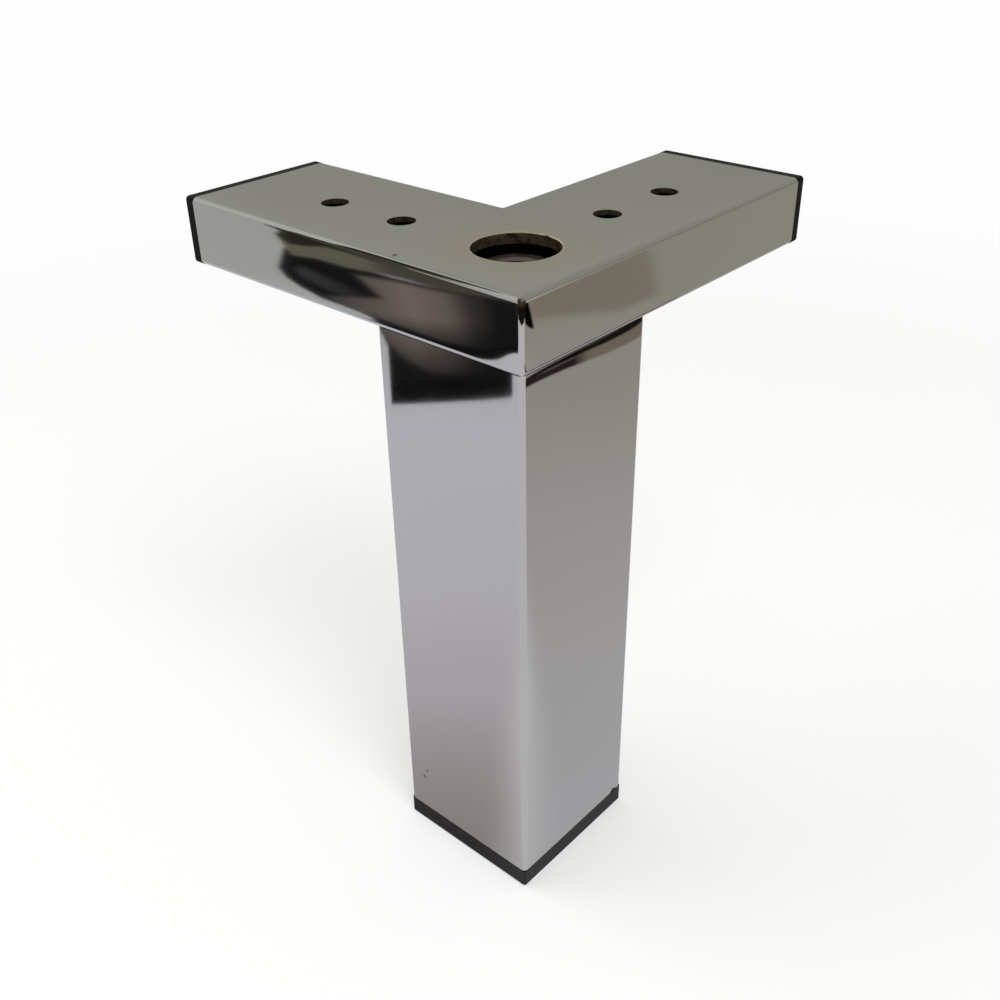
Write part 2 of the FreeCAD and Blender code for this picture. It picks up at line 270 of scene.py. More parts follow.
def mouldedPlastic(part):
    # Black polyethylene straight from the mould: dull, with a fine spark-eroded grain and a faint sink here and there.
    look = plastic[part]
    material, tree, shader, place = newMaterial("black moulded plastic, " + part, {
        "Roughness": look["roughness"], "Specular IOR Level": look["gloss"]})
    cloud = addNode(tree, "ShaderNodeTexNoise", {"Vector": place, "Scale": 0.2, "Detail": 3.0})
    tint = addNode(tree, "ShaderNodeMix", {0: cloud, 6: linearColour(look["tone"], 0.8),
                                           7: linearColour(look["tone"], 1.25)}, data_type="RGBA")
    grain = addNode(tree, "ShaderNodeTexNoise", {"Vector": place, "Scale": 3.0, "Detail": 3.0, "Roughness": 0.7})
    height = addNode(tree, "ShaderNodeMath", {0: grain, 1: 0.02}, operation="MULTIPLY")
    height = addNode(tree, "ShaderNodeMath", {0: cloud, 1: 0.03, 2: height}, operation="MULTIPLY_ADD")
    bump = addNode(tree, "ShaderNodeBump", {"Distance": mm, "Height": height})
    setInputs(tree, shader, {"Base Color": tint, "Normal": bump})
    return material


steelInside = bareSteel()
zinc = zincPlate()
capPlastic = mouldedPlastic("arm plugs")
footPlastic = mouldedPlastic("foot")
print("finishes made")


def mergedCopy(nodeName, pieceName):
    mesh = cadNodes[nodeName].data.copy()
    mesh.name = pieceName
    mesh.materials.clear()
    work = bmesh.new()
    work.from_mesh(mesh)
    bmesh.ops.remove_doubles(work, verts=work.verts, dist=0.001 * mm)
    work.to_mesh(mesh)
    work.free()
    piece = bpy.data.objects.new(pieceName, mesh)
    bpy.context.scene.collection.objects.link(piece)
    return piece


def cornerAngle(points, index):
    here = points[index]
    a = (points[index - 1] - here).normalized()
    b = (points[(index + 1) % len(points)] - here).normalized()
    return math.acos(max(-1.0, min(1.0, a.dot(b))))


def roundTogether(pieces, limit=33.0, flatArea=40.0):
    # Smooth normals over the bends only: a corner that touches a large flat face keeps that face's normal.
    cosLimit = math.cos(math.radians(limit))
    around = {}
    planes = {}
    corners = []
    for number, piece in enumerate(pieces):
        mesh = piece.data
        for polygon in mesh.polygons:
            normal = polygon.normal.copy()
            plane = (number, tuple(round(v, 3) for v in normal), round(polygon.center.dot(normal), 5))
            planes[plane] = planes.get(plane, 0.0) + polygon.area / mm ** 2
            points = [mesh.vertices[v].co for v in polygon.vertices]
            for index, point in enumerate(points):
                key = tuple(int(round(v / (0.02 * mm))) for v in point)
                around.setdefault(key, []).append((normal, cornerAngle(points, index), plane))
                corners.append((number, key, normal))
    results = [[] for _ in pieces]
    for number, key, normal in corners:
        near = [entry for entry in around[key] if entry[0].dot(normal) > cosLimit]
        flat = [entry for entry in near if planes[entry[2]] > flatArea]
        if flat:
            best = max(flat, key=lambda entry: planes[entry[2]])
            results[number].append(best[0])
        else:
            total = Vector((0, 0, 0))
            for other, angle, _ in near:
                total += other * angle
            results[number].append(total.normalized())
    for piece, normals in zip(pieces, results):
        piece.data.normals_split_custom_set(normals)


def giveMaterials(piece, materials, choose=None):
    for material in materials:
        piece.data.materials.append(material)
    if choose:
        for polygon in piece.data.polygons:
            polygon.material_index = choose(polygon.center / mm, polygon.normal)


armInside = {"halfWidth": 23.6, "low": 178.4, "high": 195.6, "plugFrom": 99.2, "collarReach": 11.85, "collarLow": 196.2}


def insideArm(along, across):
    # Says which faces of an arm tube are its unplated inside: the bore, the hole walls and the collar's far end.
    middle = (bracket["outer"] + bracket["inner"]) / 2

    def choose(centre, normal):
        wide = abs(centre[across] - middle) < armInside["halfWidth"]
        if wide and armInside["low"] < centre.z < armInside["high"]:
            return 1
        wall = abs(normal.z) < 0.5 and wide and centre[along] < armInside["plugFrom"]
        collar = math.hypot(centre.x - fixing[0], centre.y - fixing[1]) < armInside["collarReach"]
        return 1 if wall and (centre.z < armInside["collarLow"] or not collar) else 0
    return choose


def handOver(piece, nodes, slotName):
    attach(piece, "root")
    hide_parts(*nodes)


rightArm = mergedCopy("right_arm_tube", "rightArm")
leftArm = mergedCopy("left_arm_tube", "leftArm")
roundTogether([rightArm, leftArm])
giveMaterials(rightArm, [chromeRightArm, steelInside], insideArm(0, 1))
giveMaterials(leftArm, [chromeLeftArm, steelInside], insideArm(1, 0))
handOver(rightArm, ["right_arm_tube"], "chrome_plate")
handOver(leftArm, ["left_arm_tube"], "chrome_plate")
print("bracket arms dressed")


def newForm(name, sizes):
    # A geometry tree with one named input for each size.
    tree = bpy.data.node_groups.new(name, "GeometryNodeTree")
    tree.interface.new_socket("Geometry", in_out="OUTPUT", socket_type="NodeSocketGeometry")
    kinds = {int: "NodeSocketInt", float: "NodeSocketFloat", tuple: "NodeSocketVector"}
    for label, value in sizes.items():
        tree.interface.new_socket(label, in_out="INPUT", socket_type=kinds[type(value)])
    return tree, addNode(tree, "NodeGroupInput").outputs


def meshFromForm(tree, geometry, material, sizes):
    # Ends the tree, sets each input by its socket's identifier, evaluates once and keeps only the plain mesh.
    real = addNode(tree, "GeometryNodeRealizeInstances", {0: geometry})
    dressed = addNode(tree, "GeometryNodeSetMaterial", {0: real, "Material": material})
    addNode(tree, "NodeGroupOutput", {0: dressed})
    holder = bpy.data.objects.new(tree.name, bpy.data.meshes.new(tree.name + " seed"))
    bpy.context.scene.collection.objects.link(holder)
    modifier = holder.modifiers.new("form", "NODES")
    modifier.node_group = tree
    for item in tree.interface.items_tree:
        if item.in_out == "INPUT":
            modifier[item.identifier] = sizes[item.name]
    mesh = bpy.data.meshes.new_from_object(holder.evaluated_get(bpy.context.evaluated_depsgraph_get()))
    holder.modifiers.clear()
    mesh.materials.clear()  # a primitive leaves an empty slot in front
    mesh.materials.append(material)
    mesh.polygons.foreach_set("material_index", [0] * len(mesh.polygons))
    holder.data = mesh
    return holder


tubeSizes = {
    "Width": 2 * leg["half"] * mm,
    "Wall": 1.5 * mm,
    "Outer radius": 1.5 * mm,
    "Inner radius": 0.3 * mm,
    "Length": 170.2 * mm,
    "Base": leg["footTop"] * mm,
}


def squareTube(name, sizes, material):
    tree, given = newForm(name, sizes)
    inside = addNode(tree, "ShaderNodeMath", {0: given["Wall"], 1: -2.0, 2: given["Width"]}, operation="MULTIPLY_ADD")
    outlines = []
    for width, radius in ((given["Width"], given["Outer radius"]), (inside, given["Inner radius"])):
        square = addNode(tree, "GeometryNodeCurvePrimitiveQuadrilateral", {"Width": width, "Height": width})
        outlines.append(addNode(tree, "GeometryNodeFilletCurve", {"Curve": square, "Radius": radius, "Count": 6},
                                mode="POLY"))
    profile = addNode(tree, "GeometryNodeJoinGeometry", {0: outlines})
    end = addNode(tree, "GeometryNodeFillCurve", {"Curve": profile})
    raised = addNode(tree, "GeometryNodeExtrudeMesh", {"Mesh": end, "Offset Scale": given["Length"],
                                                       "Individual": False}, mode="FACES")
    lowEnd = addNode(tree, "GeometryNodeFlipFaces", {"Mesh": end})
    closed = addNode(tree, "GeometryNodeJoinGeometry", {0: [raised, lowEnd]})
    sewn = addNode(tree, "GeometryNodeMergeByDistance", {"Geometry": closed, "Distance": 0.001 * mm})
    lift = addNode(tree, "ShaderNodeCombineXYZ", {2: given["Base"]})
    placed = addNode(tree, "GeometryNodeTransform", {"Geometry": sewn, "Translation": lift})
    return meshFromForm(tree, placed, material, sizes)


threadSizes = {
    "Crest radius": 5.9 * mm,
    "Ridge radius": 0.6 * mm,
    "Pitch": 1.75 * mm,
    "Length": 18.4 * mm,
    "Place": (fixing[0] * mm, fixing[1] * mm, 172.0 * mm),
}


def rolledThread(name, sizes, material):
    tree, given = newForm(name, sizes)
    radius = addNode(tree, "ShaderNodeMath", {0: given["Crest radius"], 1: given["Ridge radius"]}, operation="SUBTRACT")
    turns = addNode(tree, "ShaderNodeMath", {0: given["Length"], 1: given["Pitch"]}, operation="DIVIDE")
    path = addNode(tree, "GeometryNodeCurveSpiral", {"Resolution": 28, "Rotations": turns, "Start Radius": radius,
                                                     "End Radius": radius, "Height": given["Length"]})
    ridge = addNode(tree, "GeometryNodeCurvePrimitiveCircle", {"Resolution": 8, "Radius": given["Ridge radius"]})
    thread = addNode(tree, "GeometryNodeCurveToMesh", {"Curve": path, "Profile Curve": ridge, "Fill Caps": True})
    placed = addNode(tree, "GeometryNodeTransform", {"Geometry": thread, "Translation": given["Place"]})
    return meshFromForm(tree, placed, material, sizes)


cornerBead = {
    "Leg": 3.0 * mm,
    "Length": 19.0 * mm,
    "Ripples": 13,
    "Copies": 1,
    "Turn": (0.0, 0.0, 0.0),
    "Place": (bracket["inner"] * mm, bracket["inner"] * mm, 177.5 * mm),
}
plateBeads = {
    "Leg": 3.0 * mm,
    "Length": 20.0 * mm,
    "Ripples": 14,
    "Copies": 4,
    "Turn": tuple(Matrix(((0, 0, 1), (-1, 0, 0), (0, -1, 0))).to_euler()),
    "Place": (-10.0 * mm, 23.5 * mm, 171.0 * mm),
}


def weldBeads(name, sizes, material):
    # A rounded fillet of weld whose ripples are the pool's stops, each end run out, then copied round the tube.
    tree, given = newForm(name, sizes)
    rows = addNode(tree, "ShaderNodeMath", {0: given["Ripples"], 1: 8.0, 2: 1.0}, operation="MULTIPLY_ADD")
    sheet = addNode(tree, "GeometryNodeMeshGrid", {"Size X": 1.0, "Size Y": 1.0, "Vertices X": rows, "Vertices Y": 9})
    place = addNode(tree, "ShaderNodeSeparateXYZ", {0: addNode(tree, "GeometryNodeInputPosition")}).outputs
    along = addNode(tree, "ShaderNodeMath", {0: place[0], 1: 0.5}, operation="ADD")
    angle = addNode(tree, "ShaderNodeMath", {0: place[1], 1: math.pi / 2, 2: math.pi / 4}, operation="MULTIPLY_ADD")
    halfTurns = addNode(tree, "ShaderNodeMath", {0: given["Ripples"], 1: math.pi}, operation="MULTIPLY")
    ripple = addNode(tree, "ShaderNodeMath", {0: along, 1: halfTurns}, operation="MULTIPLY")
    for operation in ("SINE", "ABSOLUTE"):
        ripple = addNode(tree, "ShaderNodeMath", {0: ripple}, operation=operation)
    fromFarEnd = addNode(tree, "ShaderNodeMath", {0: 1.0, 1: along}, operation="SUBTRACT")
    runOut = addNode(tree, "ShaderNodeMath", {0: along, 1: fromFarEnd}, operation="MINIMUM")
    for operation, factor in (("MULTIPLY", 14.0), ("MINIMUM", 1.0), ("POWER", 0.5)):
        runOut = addNode(tree, "ShaderNodeMath", {0: runOut, 1: factor}, operation=operation)
    radius = addNode(tree, "ShaderNodeMath", {0: ripple, 1: 0.12, 2: 0.80}, operation="MULTIPLY_ADD")
    for factor in (runOut, given["Leg"]):
        radius = addNode(tree, "ShaderNodeMath", {0: radius, 1: factor}, operation="MULTIPLY")
    where = addNode(tree, "ShaderNodeCombineXYZ")
    for axis, operation in enumerate(("COSINE", "SINE")):
        share = addNode(tree, "ShaderNodeMath", {0: angle}, operation=operation)
        setInputs(tree, where, {axis: addNode(tree, "ShaderNodeMath", {0: radius, 1: share}, operation="MULTIPLY")})
    setInputs(tree, where, {2: addNode(tree, "ShaderNodeMath", {0: along, 1: given["Length"]}, operation="MULTIPLY")})
    bent = addNode(tree, "GeometryNodeSetPosition", {"Geometry": sheet, "Position": where})
    bead = addNode(tree, "GeometryNodeFlipFaces", {"Mesh": bent})  # the bent sheet's faces look into the corner
    turn = addNode(tree, "FunctionNodeEulerToRotation", {0: given["Turn"]})
    placed = addNode(tree, "GeometryNodeTransform", {"Geometry": bead, "Translation": given["Place"], "Rotation": turn})
    points = addNode(tree, "GeometryNodeMeshLine", {"Count": given["Copies"], "Offset": (0.0, 0.0, 0.0)})
    number = addNode(tree, "GeometryNodeInputIndex")
    quarter = addNode(tree, "ShaderNodeMath", {0: number, 1: math.pi / 2}, operation="MULTIPLY")
    spin = addNode(tree, "FunctionNodeEulerToRotation", {0: addNode(tree, "ShaderNodeCombineXYZ", {2: quarter})})
    copies = addNode(tree, "GeometryNodeInstanceOnPoints", {"Points": points, "Instance": placed, "Rotation": spin})
    return meshFromForm(tree, copies, material, sizes)


boltShank = {"from": 170.9, "radius": 6.0, "core": 0.86}


def boltCore():
    # The CAD bolt with its shank drawn in to the thread's core, for the rolled ridge to lie round.
    bolt = mergedCopy("leg_bolt", "legBolt")
    axis = Vector(fixing)
    for vertex in bolt.data.vertices:
        reach = vertex.co.xy / mm - axis
        if vertex.co.z > boltShank["from"] * mm and reach.length < boltShank["radius"]:
            vertex.co.xy = (axis + reach * boltShank["core"]) * mm
    roundTogether([bolt])
    giveMaterials(bolt, [zinc])
    return bolt


legTube = squareTube("legTube", tubeSizes, chromeLeg)
roundTogether([legTube])
giveMaterials(legTube, [steelInside], lambda centre, normal: int(max(abs(centre.x), abs(centre.y)) < leg["bore"]))
handOver(legTube, ["leg_tube"], "chrome_plate")
handOver(boltCore(), ["leg_bolt"], "zinc_plate")
for piece, node, slotName in (
    (rolledThread("boltThread", threadSizes, zinc), "leg_bolt", "zinc_plate"),
    (weldBeads("cornerWeld", cornerBead, chromeRightArm), "corner_weld", "chrome_plate"),
    (weldBeads("plateWelds", plateBeads, steelInside), "plate_welds", "bare_steel"),
):
    roundTogether([piece], 50.0)
    handOver(piece, [node], slotName)
print("leg, bolt and welds made")

footFlash = {
    "outline": [(19.6, 6.3), (19.8, 6.8), (20.2, 7.3), (20.5, 7.0), (20.9, 7.9), (21.3, 7.1), (21.9, 7.3), (22.5, 6.9),
                (22.6, 6.3)],
    "inner": -24.98,
    "outer": -25.22,
}


def addFlash(foot):
    # The ragged flake of plastic that stands up over the tube at the foot's right corner.
    mesh = foot.data
    work = bmesh.new()
    work.from_mesh(mesh)
    sides = [[work.verts.new((x * mm, y * mm, z * mm)) for x, z in footFlash["outline"]]
             for y in (footFlash["inner"], footFlash["outer"])]
    work.faces.new(sides[0])
    work.faces.new(sides[1][::-1])
    for index in range(len(sides[0])):
        after = (index + 1) % len(sides[0])
        work.faces.new((sides[0][after], sides[0][index], sides[1][index], sides[1][after]))
    work.to_mesh(mesh)
    work.free()


for node, material, slotName in (
    ("right_end_cap", capPlastic, "black_plastic"),
    ("left_end_cap", capPlastic, "black_plastic"),
    ("foot_cap", footPlastic, "black_plastic"),
    ("leg_top_plate", steelInside, "bare_steel"),
    ("flat_washer", zinc, "zinc_plate"),
    ("hex_nut", zinc, "zinc_plate"),
):
    words = node.split("_")
    piece = mergedCopy(node, words[0] + "".join(w.capitalize() for w in words[1:]))
    roundTogether([piece])
    if node == "foot_cap":
        addFlash(piece)
    giveMaterials(piece, [material])
    handOver(piece, [node], slotName)
print("plugs, foot and fastenings dressed")


board = {
    "size": 12.0,
    "tone": "E2E2E5",
    "nearLift": 0.35,
    "backdrop": 0.985,
    "backdropFrom": (0.28, 0.75),
    # What the chrome mirrors of it, a painted reflection by distance in units of the reach: position and linear colour.
    # The dark start towards the left is a painted shadow near the foot.
    "reach": 0.8,
    "towardsRight": [(0.0, (0.66, 0.65, 0.70)), (0.15, (0.64, 0.635, 0.64)), (0.3, (0.59, 0.565, 0.55)),
                     (0.45, (0.50, 0.48, 0.45)), (0.6, (0.46, 0.45, 0.38)), (1.0, (0.46, 0.45, 0.385))],
    "towardsLeft": [(0.0, (0.33, 0.31, 0.30)), (0.06, (0.52, 0.49, 0.49)), (0.12, (0.73, 0.70, 0.76)),
                    (0.2, (0.83, 0.82, 0.89)), (0.4, (0.84, 0.86, 0.94)), (0.68, (0.64, 0.655, 0.62)),
                    (1.0, (0.63, 0.64, 0.61))],
    "towardsFront": (0.88, 0.87, 0.90, 1),
    "frontFrom": (0.030, 0.066),
}


def stageObject(name, mesh):
    # An object for the stage with an empty material, whose node tree it gives.
    thing = bpy.data.objects.new(name, mesh)
    bpy.context.scene.collection.objects.link(thing)
    material = bpy.data.materials.new(name + " paint")
    material.use_nodes = True
    material.node_tree.nodes.clear()
    mesh.materials.append(material)
    return thing, material.node_tree


def buildFloor():
    # A pale board: it runs to white behind the part and keeps the part's shadow. What the chrome mirrors of it
    # is a painted reflection that glows, lighter on the left, with a painted shadow near the foot.
    half = board["size"] / 2
    mesh = bpy.data.meshes.new("paleFloor")
    mesh.from_pydata([(-half, -half, 0), (half, -half, 0), (half, half, 0), (-half, half, 0)], [], [(0, 1, 2, 3)])
    floor, tree = stageObject("paleFloor", mesh)
    ray = addNode(tree, "ShaderNodeLightPath").outputs
    place = addNode(tree, "ShaderNodeTexCoord").outputs["Object"]
    across = addNode(tree, "ShaderNodeSeparateXYZ", {0: place}).outputs
    away = addNode(tree, "ShaderNodeVectorMath", {0: place}, operation="LENGTH")
    awayOrMore = addNode(tree, "ShaderNodeMath", {0: away, 1: 0.001}, operation="MAXIMUM")

    # What the camera sees.
    diffuse = addNode(tree, "ShaderNodeBsdfDiffuse", {"Color": linearColour(board["tone"])})
    lift = addNode(tree, "ShaderNodeMath", {0: ray["Is Camera Ray"], 1: board["nearLift"]}, operation="MULTIPLY")
    glow = addNode(tree, "ShaderNodeEmission", {"Color": (1, 1, 1, 1), "Strength": lift})
    near = addNode(tree, "ShaderNodeAddShader", {0: diffuse, 1: glow})
    white = addNode(tree, "ShaderNodeEmission", {"Color": (1, 1, 1, 1), "Strength": board["backdrop"]})
    fade = addNode(tree, "ShaderNodeMapRange", {"Value": away, "From Min": board["backdropFrom"][0],
                                                "From Max": board["backdropFrom"][1]}, interpolation_type="SMOOTHSTEP")
    fade = addNode(tree, "ShaderNodeMath", {0: fade, 1: ray["Is Camera Ray"]}, operation="MULTIPLY")
    seen = addNode(tree, "ShaderNodeMixShader", {0: fade, 1: near, 2: white})

    # What the chrome mirrors is a painted reflection that glows for glossy rays only: bands by distance, different to
    # the right and to the left, and pale right in front.
    reach = addNode(tree, "ShaderNodeMath", {0: away, 1: board["reach"]}, operation="DIVIDE")
    bands = []
    for side in ("towardsRight", "towardsLeft"):
        band = addNode(tree, "ShaderNodeValToRGB", {"Fac": reach})
        elements = band.color_ramp.elements
        while len(elements) < len(board[side]):
            elements.new(1.0)
        for element, (position, colour) in zip(elements, board[side]):
            element.position, element.color = position, (*colour, 1.0)
        bands.append(band.outputs["Color"])
    leftwards = addNode(tree, "ShaderNodeMath", {0: across[1], 1: across[0]}, operation="SUBTRACT")
    leftwards = addNode(tree, "ShaderNodeMath", {0: leftwards, 1: awayOrMore}, operation="DIVIDE")
    leftwards = addNode(tree, "ShaderNodeMapRange", {"Value": leftwards, "From Min": -1.1, "From Max": 1.1},
                        interpolation_type="SMOOTHSTEP")
    mirrored = addNode(tree, "ShaderNodeMix", {0: leftwards, 6: bands[0], 7: bands[1]}, data_type="RGBA")
    before = addNode(tree, "ShaderNodeMath", {0: across[0], 1: -0.95}, operation="MULTIPLY")
    before = addNode(tree, "ShaderNodeMath", {0: across[1], 1: -1.1, 2: before}, operation="MULTIPLY_ADD")
    turned = addNode(tree, "ShaderNodeMath", {0: before, 1: awayOrMore}, operation="DIVIDE")
    turned = addNode(tree, "ShaderNodeMapRange", {"Value": turned, "From Min": 0.3, "From Max": 0.6},
                     interpolation_type="SMOOTHSTEP")
    front = addNode(tree, "ShaderNodeMapRange", {"Value": before, "From Min": board["frontFrom"][0],
                                                 "From Max": board["frontFrom"][1]}, interpolation_type="SMOOTHSTEP")
    front = addNode(tree, "ShaderNodeMath", {0: front, 1: turned}, operation="MULTIPLY")
    mirrored = addNode(tree, "ShaderNodeMix", {0: front, 6: mirrored, 7: board["towardsFront"]}, data_type="RGBA")
    glossy = addNode(tree, "ShaderNodeEmission", {"Color": mirrored, "Strength": 1.0})
    both = addNode(tree, "ShaderNodeMixShader", {0: ray["Is Glossy Ray"], 1: seen, 2: glossy})
    addNode(tree, "ShaderNodeOutputMaterial", {"Surface": both})


room = {
    "sky": (0.427, 0.428, 0.387, 1),
    "right": {"tone": (0.395, 0.397, 0.358, 1), "azimuth": -15, "spread": (0.45, 0.85)},
    "left": {"tone": (0.70, 0.71, 0.68, 1), "azimuth": 115, "spread": (0.45, 0.80)},
    "low": {"tone": (0.90, 0.90, 0.86, 1), "azimuth": 45, "spread": (0.2, 0.75)},
    "lowBand": (0.02, 0.16),  # how far up the pale band behind reaches, as the sine of the elevation
    "gainFrom": (0.25, 0.37),
    "gain": (0.90, 1.10),
}


def buildWorld():
    # Dim warm grey above, white behind near the horizon, a paler left and a slightly darker right.
    world = bpy.data.worlds.new("studio")
    bpy.context.scene.world = world
    world.use_nodes = True
    tree = world.node_tree
    tree.nodes.clear()
    ray = addNode(tree, "ShaderNodeLightPath").outputs
    direction = addNode(tree, "ShaderNodeTexCoord").outputs["Generated"]
    up = addNode(tree, "ShaderNodeSeparateXYZ", {0: direction}).outputs[2]
    towards = {}
    for side in ("right", "left", "low"):
        azimuth = math.radians(room[side]["azimuth"])
        way = (math.cos(azimuth), math.sin(azimuth), 0)
        along = addNode(tree, "ShaderNodeVectorMath", {0: direction, 1: way}, operation="DOT_PRODUCT")
        least, full = room[side]["spread"]
        towards[side] = addNode(tree, "ShaderNodeMapRange", {"Value": along, "From Min": least, "From Max": full},
                                interpolation_type="SMOOTHSTEP")
    sky = room["sky"]
    for side in ("right", "left"):
        sky = addNode(tree, "ShaderNodeMix", {0: towards[side], 6: sky, 7: room[side]["tone"]}, data_type="RGBA")
    (gainLow, gainHigh), (dim, bright), (bandLow, bandHigh) = room["gainFrom"], room["gain"], room["lowBand"]
    gain = addNode(tree, "ShaderNodeMapRange", {"Value": up, "From Min": gainLow, "From Max": gainHigh,
                                                "To Min": dim, "To Max": bright})
    sky = addNode(tree, "ShaderNodeVectorMath", {0: sky, "Scale": gain}, operation="SCALE")
    low = addNode(tree, "ShaderNodeMapRange", {"Value": up, "From Min": bandHigh, "From Max": bandLow},
                  interpolation_type="SMOOTHSTEP")
    low = addNode(tree, "ShaderNodeMath", {0: low, 1: towards["low"]}, operation="MULTIPLY")
    sky = addNode(tree, "ShaderNodeMix", {0: low, 6: sky, 7: room["low"]["tone"]}, data_type="RGBA")
    seen = addNode(tree, "ShaderNodeMix", {0: ray["Is Camera Ray"], 6: sky, 7: (1, 1, 1, 1)}, data_type="RGBA")
    background = addNode(tree, "ShaderNodeBackground", {"Color": seen, "Strength": 1.0})
    addNode(tree, "ShaderNodeOutputWorld", {"Surface": background})


lamps = {
    "keyLamp": {"azimuth": -112, "elevation": 56, "distance": 1.4, "size": 0.8, "power": 7.0},
    "fillLamp": {"azimuth": 116, "elevation": 46, "distance": 1.4, "size": 1.1, "power": 4.0},
}


def softLamp(name, azimuth, elevation, distance, size, power):
    data = bpy.data.lights.new(name, "AREA")
    data.shape, data.size, data.energy = "DISK", size, power
    lamp = bpy.data.objects.new(name, data)
    a, e = math.radians(azimuth), math.radians(elevation)
    way = Vector((math.cos(a) * math.cos(e), math.sin(a) * math.cos(e), math.sin(e)))
    lamp.location = way * distance + Vector((0, 0, 0.1))
    lamp.rotation_euler = way.to_track_quat("Z", "Y").to_euler()
    lamp.visible_glossy = False  # the chrome mirrors the open sky there, not a lamp
    bpy.context.scene.collection.objects.link(lamp)


buildFloor()
buildWorld()
for name, lamp in lamps.items():
    softLamp(name, **lamp)
print("floor, sky and lamps built")


def easeBetween(value, low, high):
    t = np.clip((value - low) / (high - low), 0, 1)
    return t * t * (3 - 2 * t)


def depthInside(s, z, corners):
    # How far inside a closed outline each point is, negative outside, in mm.
    nearest = np.full(s.shape, 1e9)
    inside = np.zeros(s.shape, bool)
    for (s0, z0), (s1, z1) in zip(corners, corners[1:] + corners[:1]):
        ds, dz = s1 - s0, z1 - z0
        t = np.clip(((s - s0) * ds + (z - z0) * dz) / (ds * ds + dz * dz), 0, 1)
        nearest = np.minimum(nearest, np.hypot(s - s0 - t * ds, z - z0 - t * dz))
        if dz:
            inside ^= ((z0 > z) != (z1 > z)) & (s < s0 + (z - z0) * ds / dz)
    return np.where(inside, nearest, -nearest)


def blend(tone, other, share):
    return tone + (other - tone) * share[..., None]


def buildCard(name, card, paint):
    # A painted card out on the board, which only the chrome sees. Its points are s along it and z up it, in mm.
    a = math.radians(card["azimuth"])
    out = np.array([math.cos(a), math.sin(a), 0.0])
    along = np.array([math.sin(a), -math.cos(a), 0.0])
    (left, right), (low, high), step = card["spanAlong"], card["spanUp"], card["step"]
    coarseFrom, coarseStep = 195, 4.0
    s = np.arange(left, right + 0.01, step)
    z = np.concatenate([np.arange(low, min(coarseFrom, high + step), step),
                        np.arange(coarseFrom, high + 1, coarseStep)])
    gridS, gridZ = np.meshgrid(s, z)
    points = (out * card["distance"] + gridS[..., None] * along + gridZ[..., None] * np.array([0, 0, 1.0])) * mm
    columns, rows = len(s), len(z)
    starts = [r * columns + c for r in range(rows - 1) for c in range(columns - 1)]
    mesh = bpy.data.meshes.new(name)
    mesh.from_pydata(points.reshape(-1, 3).tolist(), [], [(i, i + 1, i + columns + 1, i + columns) for i in starts])
    tones = np.ascontiguousarray(paint(card, gridS, gridZ), np.float32)
    mesh.color_attributes.new("tone", "FLOAT_COLOR", "POINT").data.foreach_set("color", tones.ravel())
    thing, tree = stageObject(name, mesh)
    tone = addNode(tree, "ShaderNodeAttribute", attribute_name="tone").outputs
    glow = addNode(tree, "ShaderNodeEmission", {"Color": tone["Color"], "Strength": 1.0})
    clear = addNode(tree, "ShaderNodeBsdfTransparent")
    both = addNode(tree, "ShaderNodeMixShader", {0: tone["Alpha"], 1: clear, 2: glow})
    addNode(tree, "ShaderNodeOutputMaterial", {"Surface": both})
    for flag in ("visible_camera", "visible_diffuse", "visible_shadow", "visible_transmission",
                 "visible_volume_scatter"):
        setattr(thing, flag, False)


leftCard = {
    "azimuth": 133.4,
    "distance": 348,
    "spanAlong": (-113, 158),
    "spanUp": (-4, 572),
    "step": 1.0,
    "outline": [(-84, -4), (19, -4), (18, 36), (25, 42), (43, 52), (52, 62), (58, 71), (60, 80), (56, 90), (52, 100),
                (54, 112), (30, 150), (20, 211), (24, 263), (36, 316), (60, 373), (92, 425), (110, 455), (100, 500),
                (82, 545), (70, 565), (16, 490), (-12, 400), (-38, 330), (-101, 270), (-101, 150), (-96, 104),
                (-84, 92)],
    "glow": [(-62, 14), (-20, 18), (24, 42), (40, 56), (6, 60), (18, 81), (-5, 79), (-25, 76), (-62, 74)],
    "glowAlong": [(-60, -45, -30, -10, 5, 40), (0.0, 0.2, 0.75, 1.0, 0.75, 0.3)],
    "glowUp": [(14, 30, 45), (0.12, 0.45, 1.0)],
    "glimmer": [(52, 80), (46, 84), (32, 75), (21, 67), (12, 57), (25, 55), (39, 63), (49, 72)],
    "glimmerAlong": [(15, 45), (0.35, 1.0)],
    "lip": [(-84, -64, -42, -26, -12, 4, 21, 36, 49, 53), (77, 77, 76, 78, 81, 84.5, 86.5, 91.5, 92, 100)],
    "lipLine": [(-30, -18, -6, 6), (0, 0.6, 1.0, 0)],
    "shoulder": [(-64, -28, -15, -4, 5, 17, 28, 32, 41, 49, 52),
                 (79, 91, 95.5, 98, 100, 104, 106.5, 105, 103, 103, 108)],
    "black": (0.014, 0.014, 0.015),
    "brown": (0.29, 0.24, 0.217),
    "band": (0.205, 0.19, 0.143),
    "streaky": (0.105, 0.097, 0.08),
    "above": (0.036, 0.034, 0.026),
}


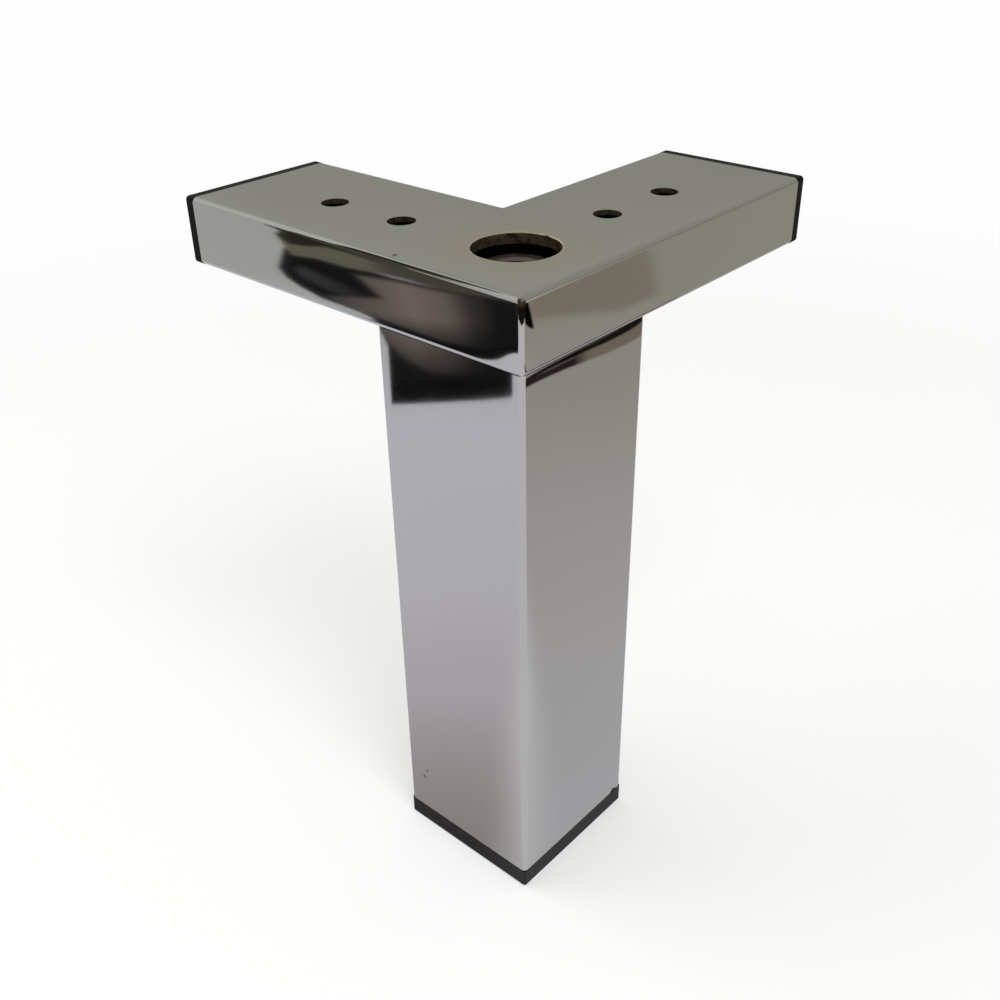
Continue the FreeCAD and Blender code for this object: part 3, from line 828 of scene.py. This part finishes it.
def paintLeftCard(card, s, z):
    # From below: black with a brown glow in it, a pale line on its lip, a dull band, and dark again over a shoulder.
    black, brown, band, streaky, above = (np.array(card[key]) for key in ("black", "brown", "band", "streaky", "above"))
    lip, shoulder = np.interp(s, *card["lip"]), np.interp(s, *card["shoulder"])
    tone = np.zeros(s.shape + (3,)) + black * (1 - 0.5 * easeBetween(-z, -16, -10))[..., None]
    middle = easeBetween(depthInside(s, z, card["glow"]), -2, 3)
    strength = middle * np.interp(s, *card["glowAlong"]) * np.interp(z, *card["glowUp"])
    tone += (brown - black) * strength[..., None]
    glimmer = easeBetween(depthInside(s, z, card["glimmer"]), -2, 4)
    tone += 0.05 * (glimmer * np.interp(s, *card["glimmerAlong"]))[..., None]
    tone = blend(tone, blend(streaky, band, easeBetween(s, -8, 14)), easeBetween(z, lip - 0.5, lip + 1.0))
    line = easeBetween(z, lip - 0.2, lip + 0.6) * easeBetween(-z, -lip - 2.4, -lip - 1.4)
    tone = blend(tone, 0.62, line * np.interp(s, *card["lipLine"]))
    dark = blend(above, streaky, easeBetween(-s, -22, 5) * 0.9)
    tone = blend(tone, dark, easeBetween(z, shoulder - 1, shoulder + 1))
    solid = easeBetween(depthInside(s, z, card["outline"]), -1.0, 1.0)
    return np.concatenate([tone, solid[..., None]], axis=-1)


rightCard = {
    "azimuth": -35.5,
    "distance": 340,
    "spanAlong": (-20, 86),
    "spanUp": (36, 120),
    "step": 1.0,
    "outline": [(-14, 56), (10, 44), (24, 47), (45, 48), (60, 48), (66, 46), (74, 62), (80, 90), (34, 100), (6, 113),
                (-2, 90)],
    "brown": (0.335, 0.293, 0.225),
    "strength": 0.85,
}


def paintRightCard(card, s, z):
    tone = np.zeros(s.shape + (3,)) + np.array(card["brown"])
    solid = easeBetween(depthInside(s, z, card["outline"]), -3.0, 9.0) * card["strength"]
    return np.concatenate([tone, solid[..., None]], axis=-1)


# A card of painted shade that the chrome mirrors along the seam under the right arm.
seamCard = {
    "azimuth": -90,
    "distance": 40,
    "spanAlong": (-62, 14),
    "spanUp": (158, 190.2),
    "step": 0.3,
    "outline": [(13, 163.2), (9.6, 163.4), (-10.1, 162.1), (-27.3, 160.5), (-49, 159.1), (-61, 158.6), (-61, 165.9),
                (13, 165.9)],
    "gap": [(-49, -27, -10, 9), (163.3, 163.8, 164.8, 165.3)],
    "streak": [(13.9, 189.8), (8.6, 188.8), (7.0, 184.5), (5.5, 179.2), (6.9, 179.7), (9.2, 182.0), (13.9, 185.0)],
    "dark": (0.035, 0.022, 0.02),
    "brown": (0.28, 0.235, 0.19),
}


def paintSeamCard(card, s, z):
    # Painted shade for the chrome to mirror: the dark line under the right arm, brown towards its far end, and the dark
    # streak that stands over it at the corner.
    tone = blend(np.array(card["dark"]), np.array(card["brown"]), easeBetween(-s, 13, 22))
    gap = np.interp(s, *card["gap"])
    line = easeBetween(z, gap - 0.8, gap - 0.5) * easeBetween(-z, 0.15 - gap, 0.4 - gap)
    tone = blend(tone, 0.16, line * easeBetween(-s, -4, 2) * easeBetween(s, -20, -12))
    tone *= 1 - 0.95 * easeBetween(z, gap - 0.2, gap + 0.2)[..., None]
    solid = easeBetween(depthInside(s, z, card["outline"]), -0.25, 0.25)
    streak = easeBetween(depthInside(s, z, card["streak"]), -0.3, 0.3)
    tone *= 1 - 0.9 * streak[..., None]
    return np.concatenate([tone, np.maximum(solid, streak)[..., None]], axis=-1)


buildCard("leftCard", leftCard, paintLeftCard)
buildCard("rightCard", rightCard, paintRightCard)
buildCard("seamCard", seamCard, paintSeamCard)
print("cards painted")


photoCamera = {
    "location": (-0.2098, -0.18459, 0.29082),
    "turn": (58.8257, 0.8965, -48.4025),
    "lens": 40.9198,
}
cameraData = bpy.data.cameras.new("photoCamera")
cameraData.sensor_width = 36.0
cameraData.lens = photoCamera["lens"]
cameraData.clip_start = 0.01
camera = bpy.data.objects.new("photoCamera", cameraData)
camera.location = photoCamera["location"]
camera.rotation_euler = Euler([math.radians(v) for v in photoCamera["turn"]])
bpy.context.scene.collection.objects.link(camera)
bpy.context.scene.camera = camera
bpy.context.scene.view_settings.view_transform = "Standard"
